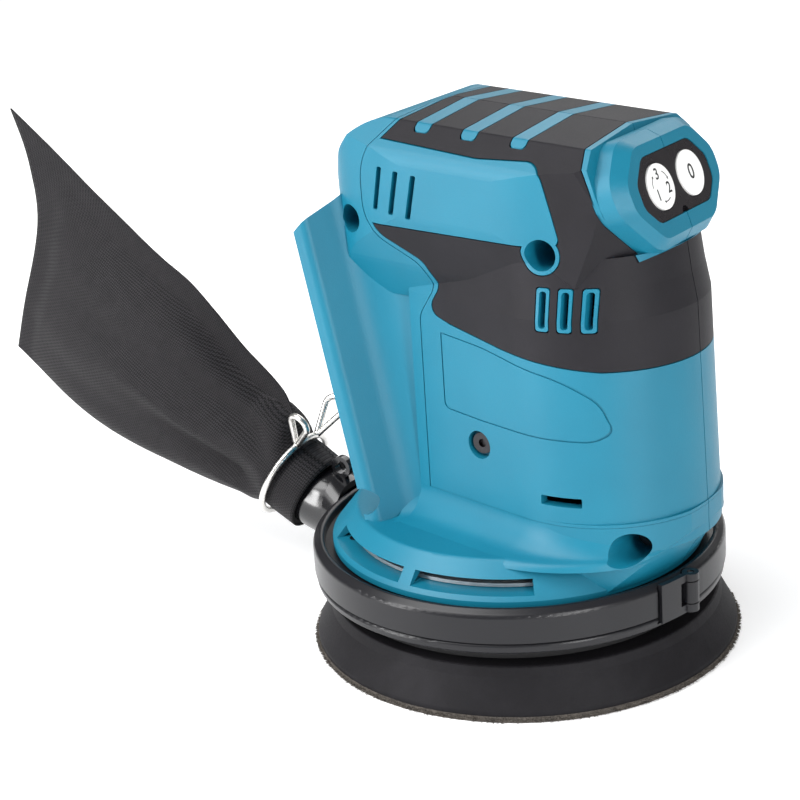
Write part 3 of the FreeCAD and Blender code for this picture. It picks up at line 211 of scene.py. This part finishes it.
# ---- Switch panel and buttons -----------------------------------------------------------
# A polished black plate set in the nose, with two round film-covered keys.  The right key
# steps through three speeds, and the left key turns the tool off.

PANEL_BLACK = (0.012, 0.0105, 0.012)
KEY_WHITE = (0.86, 0.86, 0.85)
INK = (0.012, 0.012, 0.013)
NOSE_LEAN = math.radians(21)
NOSE_OUT = Vector((math.cos(NOSE_LEAN), 0, math.sin(NOSE_LEAN)))
NOSE_UP = Vector((-NOSE_OUT.z, 0, NOSE_OUT.x))
INK_RAISE = 0.00006


def panel_gloss():
    finish = Finish("panel_gloss", Specular_IOR_Level=0.3)
    smudge = finish.noise(90, 4.0, 0.6)
    finish.feed("Base Color", finish.blend(smudge, shade(PANEL_BLACK), shade(PANEL_BLACK, 1.5)))
    finish.feed("Roughness", 0.2 + smudge * 0.16)
    finish.bump(finish.noise(900, 2.0), 0.00001, 0.3)
    return finish


def key_film():
    finish = Finish("key_film", Specular_IOR_Level=0.4)
    grain = finish.noise(1500, 2.0)
    finish.feed("Base Color", finish.blend(grain, shade(KEY_WHITE, 0.97), shade(KEY_WHITE)))
    finish.feed("Roughness", 0.34 + grain * 0.1)
    finish.bump(grain, 0.00001, 0.3)
    return finish


def key_ink():
    finish = Finish("key_ink", Specular_IOR_Level=0.3)
    grain = finish.noise(2200, 2.0)
    finish.feed("Base Color", finish.blend(grain, shade(INK), shade(INK, 2.2)))
    finish.feed("Roughness", 0.45 + grain * 0.15)
    return finish


put(panel_gloss(), "switch_panel")
put(key_film(), "speed_button", "off_button")
ink = key_ink()


def key_face(node):
    """The centre of a key's printed face, from its CAD box."""
    low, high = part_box(node)
    middle = (low + high) / 2
    reach = max((v.co - middle).dot(NOSE_OUT) for v in nodes[node].data.vertices)
    face = [v.co for v in nodes[node].data.vertices if (v.co - middle).dot(NOSE_OUT) > reach - 0.0002]
    centre = sum(face, Vector()) / len(face)
    return Vector((centre.x, middle.y, centre.z)) + NOSE_OUT * INK_RAISE


def print_digit(digit, node, across, rise, height):
    text = bpy.data.curves.new("digit_" + digit, "FONT")
    text.body = digit
    text.size = height / 0.7
    text.align_x = "CENTER"
    text.align_y = "CENTER"
    text.extrude = 0.00002
    text.offset = 0.00007
    loose = bpy.data.objects.new("digit_" + digit, text)
    scene.collection.objects.link(loose)
    mesh = bpy.data.meshes.new_from_object(loose.evaluated_get(bpy.context.evaluated_depsgraph_get()))
    bpy.data.objects.remove(loose)
    printed = bpy.data.objects.new("digit_" + digit, mesh)
    scene.collection.objects.link(printed)
    centre = key_face(node) + Vector((0, across, 0)) + NOSE_UP * rise
    turn = Matrix((Vector((0, 1, 0)), NOSE_UP, NOSE_OUT)).transposed()
    mesh.transform(Matrix.Translation(centre) @ turn.to_4x4())
    mesh.materials.clear()
    mesh.materials.append(ink.material)
    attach(printed, node)


def apply_modifiers(piece):
    """Makes what a piece's modifiers do part of its mesh."""
    bpy.context.view_layer.update()
    made = bpy.data.meshes.new_from_object(piece.evaluated_get(bpy.context.evaluated_depsgraph_get()))
    piece.modifiers.clear()
    piece.data = made


def print_arrow(name, node, start, end, radius):
    """A thin arc between two digits, ending in a small head."""
    steps = 14
    half = 0.00012
    barb = 0.00042
    centre = key_face(node)
    points = []
    faces = []

    def at(angle, r):
        return centre + Vector((0, 1, 0)) * r * math.cos(angle) + NOSE_UP * r * math.sin(angle)

    for n in range(steps + 1):
        angle = math.radians(start + (end - start) * n / steps)
        points += [at(angle, radius - half), at(angle, radius + half)]
    for n in range(steps):
        faces.append((2 * n, 2 * n + 1, 2 * n + 3, 2 * n + 2))
    tip = math.radians(end + math.copysign(9, end - start))
    foot = math.radians(end)
    points += [at(foot, radius - barb), at(foot, radius + barb), at(tip, radius)]
    faces.append((len(points) - 3, len(points) - 2, len(points) - 1))
    mesh = bpy.data.meshes.new(name)
    mesh.from_pydata(points, [], faces)
    mesh.materials.append(ink.material)
    arrow = bpy.data.objects.new(name, mesh)
    scene.collection.objects.link(arrow)
    thick = arrow.modifiers.new("ink", "SOLIDIFY")
    thick.thickness = 0.00004
    apply_modifiers(arrow)
    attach(arrow, node)


DIGIT_RING = 3.3 * MM
for digit, angle in (("3", 100), ("2", -20), ("1", 217)):
    print_digit(digit, "speed_button", DIGIT_RING * math.cos(math.radians(angle)),
                DIGIT_RING * math.sin(math.radians(angle)), 2.9 * MM)
print_digit("0", "off_button", 0, 0, 4.0 * MM)
for number, (start, end) in enumerate(((176, 138), (58, 22), (-60, -96))):
    print_arrow("key_arrow_%d" % number, "speed_button", start, end, 4.1 * MM)


# ---- Dust ring, latch and spout ---------------------------------------------------------
# Black nylon mouldings round the base.  The ring is satin outside with a polished rim, and
# the spout that leads the dust into the bag is polished all over.

RING_BLACK = (0.0075, 0.0075, 0.009)


def ring_satin():
    finish = Finish("ring_nylon", Specular_IOR_Level=0.32)
    grain = finish.noise(1800, 2.0)
    cloud = finish.noise(30, 3.0)
    finish.feed("Base Color", finish.blend(cloud, shade(RING_BLACK), shade(RING_BLACK, 1.7)))
    finish.feed("Roughness", 0.26 + grain * 0.1)
    finish.bump(grain, 0.00002, 0.35)
    return finish


def spout_gloss():
    finish = Finish("spout_gloss", Specular_IOR_Level=0.6)
    ripple = finish.noise(140, 2.0)
    finish.feed("Base Color", finish.blend(ripple, shade(RING_BLACK, 0.7), shade(RING_BLACK, 1.2)))
    finish.feed("Roughness", 0.1 + ripple * 0.14)
    finish.bump(ripple, 0.0002, 0.4)
    return finish


put(ring_satin(), "dust_ring", "ring_latch")
put(spout_gloss(), "dust_spout")


# ---- Backing pad ------------------------------------------------------------------------
# A moulded plate and a skin of dense foam, both matt black, over a sheet of hook fastening
# whose nap shows as a rough brown-grey fringe round the lower edge.

PAD_BLACK = (0.0085, 0.008, 0.0095)
NAP_BROWN = (0.115, 0.100, 0.085)
NAP_GREY = (0.045, 0.042, 0.040)
FRINGE = 2600
PAD_EDGE = 0.0615


def pad_skin():
    finish = Finish("pad_skin", Specular_IOR_Level=0.13)
    grain = finish.noise(1400, 3.0, 0.6)
    dust = finish.ramp(finish.noise(60, 5.0, 0.65), 0.45, 0.8)
    finish.feed("Base Color", finish.blend(dust * 0.5, shade(PAD_BLACK), shade(PAD_BLACK, 2.2)))
    finish.feed("Roughness", 0.5 + grain * 0.2)
    finish.bump(grain, 0.00008, 0.5)
    return finish


def hook_nap():
    finish = Finish("hook_nap", Specular_IOR_Level=0.2)
    loops = finish.add("ShaderNodeTexVoronoi", {}, {"Vector": finish.where, "Scale": 900.0}, "Distance")
    tone = finish.noise(420, 3.0, 0.7)
    finish.feed("Base Color", finish.blend(tone, shade(NAP_GREY), shade(NAP_BROWN)))
    finish.feed("Roughness", 0.85 + tone * 0.1)
    finish.bump(loops, 0.0006, 0.9)
    return finish


put(pad_skin(), "pad_plate", "pad_foam")
nap = hook_nap()
put(nap, "hook_face")


def nap_fringe():
    """Short bent hooks of nylon round the rim, each a narrow three-sided blade."""
    chance = random.Random(7)
    low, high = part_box("hook_face")
    middle = (low + high) / 2
    points = []
    faces = []
    for n in range(FRINGE):
        angle = 2 * math.pi * (n + chance.random()) / FRINGE
        out = Vector((math.cos(angle), math.sin(angle), 0))
        side = Vector((-out.y, out.x, 0))
        root = Vector((middle.x, middle.y, 0)) + out * (PAD_EDGE - 0.0003)
        root.z = 0.0002 + 0.0012 * chance.random()
        width = 0.00012 + 0.00010 * chance.random()
        length = 0.0007 + 0.0009 * chance.random()
        lean = side * chance.uniform(-0.9, 0.9)
        drop = Vector((0, 0, chance.uniform(-0.35, 0.35)))
        middle_point = root + (out + lean * 0.4) * length * 0.6
        tip = root + (out + lean + drop).normalized() * length
        tip.z = max(tip.z, 0.00005)
        first = len(points)
        points += [root - side * width, root + side * width, root + Vector((0, 0, width)),
                   middle_point - side * width * 0.8, middle_point + side * width * 0.8,
                   middle_point + Vector((0, 0, width)), tip]
        for a, b in ((0, 1), (1, 2), (2, 0)):
            faces.append((first + a, first + b, first + 3 + b, first + 3 + a))
            faces.append((first + 3 + a, first + 3 + b, first + 6))
        faces.append((first + 2, first + 1, first))
    mesh = bpy.data.meshes.new("nap_fringe")
    mesh.from_pydata(points, [], faces)
    mesh.materials.append(nap.material)
    fringe = bpy.data.objects.new("nap_fringe", mesh)
    scene.collection.objects.link(fringe)
    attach(fringe, "pad")


nap_fringe()


# ---- Dust bag ---------------------------------------------------------------------------
# One piece of black woven polyester, folded along its lower edge and sewn 7.5 mm in from its
# upper and far edges, which are left raw.  Its mouth is gathered round the spout.

BAG_RISE = math.radians(28)
BAG_ALONG = Vector((-math.cos(BAG_RISE), 0, math.sin(BAG_RISE)))
BAG_ACROSS = Vector((math.sin(BAG_RISE), 0, math.cos(BAG_RISE)))
BAG_MOUTH = Vector((-72.53, 0, 26.88)) * MM
SEAM_IN = 7.5 * MM
CLOTH = 0.45 * MM
WEAVE = 0.72 * MM
CLOTH_LENGTH = 127.0            # along the fold, in millimetres
# Each edge's height by distance along the bag, the far edge's reach by share of the height
# from fold to raw edge, and half the bag's thickness by distance along it, in millimetres.
LOWER_EDGE = ((0, -12.6), (8, -12.8), (13, -12.9), (20, -18.0), (34, -22.4), (52, -25.8), (75, -29.6),
              (96, -32.4), (112, -33.6), (127, -34.4))
UPPER_EDGE = ((0, 12.6), (8, 12.8), (13, 12.9), (19, 18.2), (27, 22.0), (44, 25.6), (58, 30.2), (70, 33.4),
              (82, 34.0), (96, 35.2), (110, 37.4), (120, 40.4), (130, 43.6))
FAR_EDGE = ((-1.0, 127.0), (-0.55, 129.5), (0.0, 131.5), (0.3, 134.0), (0.55, 139.0), (0.78, 147.0),
            (1.0, 158.0))
FULLNESS = ((0, 12.6), (8, 12.8), (13, 12.9), (22, 12.4), (38, 11.2), (60, 9.6), (90, 7.2), (115, 4.4),
            (123, 0.3), (160, 0.3))


def along_curve(points, at):
    """A smooth curve through given points, read at one place."""
    for n in range(len(points) - 1):
        if at <= points[n + 1][0] or n == len(points) - 2:
            break
    (x0, y0), (x1, y1) = points[n], points[n + 1]
    before = points[max(n - 1, 0)]
    after = points[min(n + 2, len(points) - 1)]
    slope0 = (y1 - before[1]) / (x1 - before[0])
    slope1 = (after[1] - y0) / (after[0] - x0)
    t = min(max((at - x0) / (x1 - x0), 0), 1)
    h = x1 - x0
    return ((2 * t ** 3 - 3 * t ** 2 + 1) * y0 + (t ** 3 - 2 * t ** 2 + t) * h * slope0
            + (3 * t ** 2 - 2 * t ** 3) * y1 + (t ** 3 - t ** 2) * h * slope1)


def woven_cloth():
    finish = Finish("woven_polyester", Specular_IOR_Level=0.14, Sheen_Weight=0.04, Sheen_Roughness=0.4)
    thread = finish.add("ShaderNodeAttribute", {"attribute_name": "thread"}, {}, "Vector")
    turn = math.pi / WEAVE
    warp = finish.add("ShaderNodeSeparateXYZ", {}, [thread], "X") * turn
    weft = finish.add("ShaderNodeSeparateXYZ", {}, [thread], "Y") * turn
    warp_wave = warp.math("SINE")
    weft_wave = weft.math("SINE")
    over = warp_wave * weft_wave > 0.0
    height = over * warp_wave.math("ABSOLUTE") + (1.0 - over) * weft_wave.math("ABSOLUTE")
    slub = finish.noise(260, 3.0, 0.7)
    # Thread crests are painted paler in the colour: a painted sheen on the weave, varied at random by slub.
    light = height * height * (0.55 + slub * 0.5)
    finish.feed("Base Color", finish.blend(light, (0.0015, 0.0015, 0.002, 1), (0.034, 0.032, 0.035, 1)))
    finish.feed("Roughness", 0.78 - light * 0.25)
    finish.bump(height, 0.00016, 0.8)
    return finish


cloth = woven_cloth()


def bag_point(along, share, side):
    """A point of the cloth: distance along in mm, share from fold (-1) to raw edge (1), side -1 or 1."""
    low = along_curve(LOWER_EDGE, along)
    high = along_curve(UPPER_EDGE, along)
    middle = (low + high) / 2
    half = (high - low) / 2
    flap = SEAM_IN / MM * min(max((along - 16) / 16, 0), 1)
    seam = 1 - flap / half
    full = along_curve(FULLNESS, along)
    if share < seam:
        place = (share + 1) / (seam + 1) * 2 - 1
        puff = max(1 - place * place, 0) ** 0.5
        flat = 1 - min(max((along - 14) / 40, 0), 1)
        puff = puff * flat + (1 - flat) * puff ** 1.35
    else:
        puff = 0
    pleat = math.sin(share * 9.0 + along * 0.045) * 2.4 + math.sin(share * 17.0 - along * 0.02 + side) * 0.6
    rise = min(max((along - 13) / 12, 0), 1)
    fade = rise * max(0.12, 1 - abs(along - 30) / 95)
    depth = full * puff + pleat * fade * puff
    sway = 2.2 * math.sin(along * 0.055 + 0.6) * rise + 3.4 * rise * share * math.sin(along * 0.031 - 0.8)
    end = min(max((along - 96) / 31, 0), 1)
    reach = along + end * end * (along_curve(FAR_EDGE, share) - CLOTH_LENGTH)
    y = side * max(depth, 0.30) + sway
    if along > 100 and share > 0.6:
        y += 5.0 * ((along - 100) / 27) ** 2 * (share - 0.6)
    return (BAG_MOUTH + BAG_ALONG * reach * MM + BAG_ACROSS * (middle + half * share) * MM
            + Vector((0, y * MM, 0)))


def dust_bag():
    steps = 88
    across = 40
    chance = random.Random(11)
    ragged = [chance.uniform(-0.5, 0.5) for _ in range(steps + 1)]
    points = []
    threads = []
    for i in range(steps + 1):
        along = CLOTH_LENGTH * i / steps
        for j in range(2 * across):
            side = -1 if j <= across else 1
            turn = j if j <= across else 2 * across - j
            share = -math.cos(math.pi * turn / across)
            if turn == across:
                share += ragged[i] * 0.012 * min(along / 30, 1)
            if turn == 0 or turn == across:
                point = (bag_point(along, share, -1) + bag_point(along, share, 1)) / 2
            else:
                point = bag_point(along, share, side)
            points.append(point)
            low = along_curve(LOWER_EDGE, along)
            high = along_curve(UPPER_EDGE, along)
            threads.append((along * MM, ((low + high) / 2 + share * (high - low) / 2) * MM, 0))
    faces = []
    ring = 2 * across
    for i in range(steps):
        for j in range(ring):
            a = i * ring + j
            b = i * ring + (j + 1) % ring
            faces.append((a, b, b + ring, a + ring))
    last = steps * ring
    for j in range(across):
        near = last + j
        far = last + (ring - j) % ring
        near_next = last + j + 1
        far_next = last + (ring - j - 1) % ring
        corners = []
        for corner in (near, near_next, far_next, far):
            if corner not in corners:
                corners.append(corner)
        if len(corners) > 2:
            faces.append(tuple(corners))
    mesh = bpy.data.meshes.new("dust_bag_cloth")
    mesh.from_pydata(points, [], faces)
    mesh.attributes.new("thread", "FLOAT_VECTOR", "POINT")
    mesh.attributes["thread"].data.foreach_set("vector", [x for t in threads for x in t])
    mesh.materials.append(cloth.material)
    mesh.polygons.foreach_set("use_smooth", [True] * len(mesh.polygons))
    bag = bpy.data.objects.new("dust_bag_cloth", mesh)
    scene.collection.objects.link(bag)
    shell = bag.modifiers.new("cloth", "SOLIDIFY")
    shell.thickness = CLOTH
    shell.offset = -1
    apply_modifiers(bag)
    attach(bag, "bag")
    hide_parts("dust_bag")
    return bag


bag = dust_bag()
put(cloth, "bag_collar")


# ---- Wire clamp -------------------------------------------------------------------------
# A ring of bright spring wire round the bag's mouth, with two ears that a thumb and finger
# press together to open it.

STEEL = (0.60, 0.59, 0.57)


def bright_wire():
    finish = Finish("bright_wire", Metallic=1.0)
    drawn = finish.noise(700, 3.0)
    finish.feed("Base Color", finish.blend(drawn, shade(STEEL), shade(STEEL, 1.3)))
    finish.feed("Roughness", 0.2 + drawn * 0.16)
    finish.bump(drawn, 0.00001, 0.4)
    return finish


put(bright_wire(), "spring_clamp")


# ---- Metal parts ------------------------------------------------------------------------
# Steel, alloy, copper and brass, each part turned, cast or stamped to size.

def machined_metal(name, colour, rough):
    finish = Finish(name, Metallic=1.0)
    turned = finish.noise(600, 3.0, 0.6)
    finish.feed("Base Color", finish.blend(turned, shade(colour, 0.85), shade(colour, 1.15)))
    finish.feed("Roughness", rough + turned * 0.14)
    finish.bump(turned, 0.00002, 0.4)
    return finish


put(machined_metal("ground_steel", (0.56, 0.56, 0.57), 0.24), "motor_shaft", "lower_bearing", "upper_bearing",
    "pad_bearing", "bearing_retainer", "latch_pin", "pad_spindle", "pad_washer", "pad_bolt", "brush_springs")
put(machined_metal("black_oxide", (0.045, 0.045, 0.048), 0.4), "housing_screws", "ring_screws")
put(machined_metal("zinc_plate", (0.52, 0.52, 0.50), 0.34), "motor_can", "armature_core")
put(machined_metal("cast_alloy", (0.50, 0.51, 0.52), 0.42), "bearing_box", "counterweight_fan", "cooling_fan")
put(machined_metal("fin_alloy", (0.66, 0.67, 0.68), 0.3), "heat_sink")
put(machined_metal("copper", (0.72, 0.34, 0.18), 0.3), "windings", "commutator_bars")
put(machined_metal("stamped_brass", (0.70, 0.52, 0.22), 0.3), "terminal_blades", "brush_holders")


# ---- Plain inner mouldings --------------------------------------------------------------
# Black nylon, carbon, ferrite, rubber and circuit board, all hidden inside the shells.

def plain_moulding(name, colour, rough):
    finish = Finish(name, Specular_IOR_Level=0.4)
    grain = finish.noise(1600, 2.0)
    finish.feed("Base Color", finish.blend(grain, shade(colour, 0.8), shade(colour, 1.25)))
    finish.feed("Roughness", rough + grain * 0.15)
    finish.bump(grain, 0.00003, 0.4)
    return finish


put(plain_moulding("inner_nylon", (0.022, 0.022, 0.024), 0.5), "motor_end_cap", "motor_cradle",
    "commutator_sleeve", "switch_frame", "tact_switches", "controller_case", "terminal_block")
put(plain_moulding("carbon_block", (0.03, 0.03, 0.031), 0.62), "carbon_brushes")
put(plain_moulding("ferrite", (0.06, 0.06, 0.063), 0.55), "field_magnets")
put(plain_moulding("circuit_green", (0.016, 0.13, 0.06), 0.35), "switch_board", "controller_board")
put(plain_moulding("seal_rubber", (0.014, 0.014, 0.015), 0.6), "seal_skirt")
put(plain_moulding("lead_sleeve", (0.025, 0.025, 0.026), 0.45), "motor_leads", "switch_lead")


# ---- Studio -----------------------------------------------------------------------------
# A pale floor that runs back out of sight, a broad soft window high on the left, strips low
# on both sides that draw the long highlights, and an even white surround.

SUN_POWER = 1.6
SURROUND_STRENGTH = 0.24
FLOOR_HALF = 6.0
FLOOR_GLOW = 0.3


def studio_light(name, place, aim, size, power):
    lamp = bpy.data.lights.new(name, "AREA")
    lamp.shape = "RECTANGLE"
    lamp.size, lamp.size_y = size
    lamp.energy = power
    light = bpy.data.objects.new(name, lamp)
    scene.collection.objects.link(light)
    light.location = place
    light.rotation_mode = "QUATERNION"
    light.rotation_quaternion = (Vector(aim) - Vector(place)).to_track_quat("-Z", "Y")


studio_light("overhead_box", (-0.35, -0.45, 1.05), (0, 0, 0.06), (0.8, 0.6), 6.5)
studio_light("left_strip", (-0.55, -0.95, 0.40), (0, 0, 0.08), (0.22, 0.9), 11.0)
studio_light("right_strip", (1.05, -0.50, 0.35), (0.02, 0, 0.08), (0.25, 0.9), 10.0)
studio_light("rear_box", (-0.2, 0.9, 0.7), (0, 0, 0.1), (0.9, 0.5), 4.0)

sun = bpy.data.lights.new("high_window", "SUN")
sun.energy = SUN_POWER
sun.angle = math.radians(55)
window = bpy.data.objects.new("high_window", sun)
scene.collection.objects.link(window)
window.rotation_mode = "QUATERNION"
window.rotation_quaternion = Vector((0.30, 0.75, -1.25)).to_track_quat("-Z", "Y")

world = bpy.data.worlds.new("surround")
world.use_nodes = True
world.node_tree.nodes["Background"].inputs["Color"].default_value = (1, 1, 1, 1)
world.node_tree.nodes["Background"].inputs["Strength"].default_value = SURROUND_STRENGTH
scene.world = world
scene.view_settings.view_transform = "Standard"

floor_mesh = bpy.data.meshes.new("floor")
corners = [(x * FLOOR_HALF, y * FLOOR_HALF, 0) for x, y in ((-1, -1), (1, -1), (1, 1), (-1, 1))]
floor_mesh.from_pydata(corners, [], [(0, 1, 2, 3)])
floor = bpy.data.objects.new("floor", floor_mesh)
scene.collection.objects.link(floor)
paper = Finish("pale_floor", Roughness=0.55, Specular_IOR_Level=0.15, Emission_Color=(1, 1, 1, 1),
               Emission_Strength=FLOOR_GLOW)
paper.feed("Base Color", paper.blend(paper.noise(3.0, 2.0), (0.90, 0.90, 0.905, 1), (0.93, 0.93, 0.935, 1)))
floor_mesh.materials.append(paper.material)
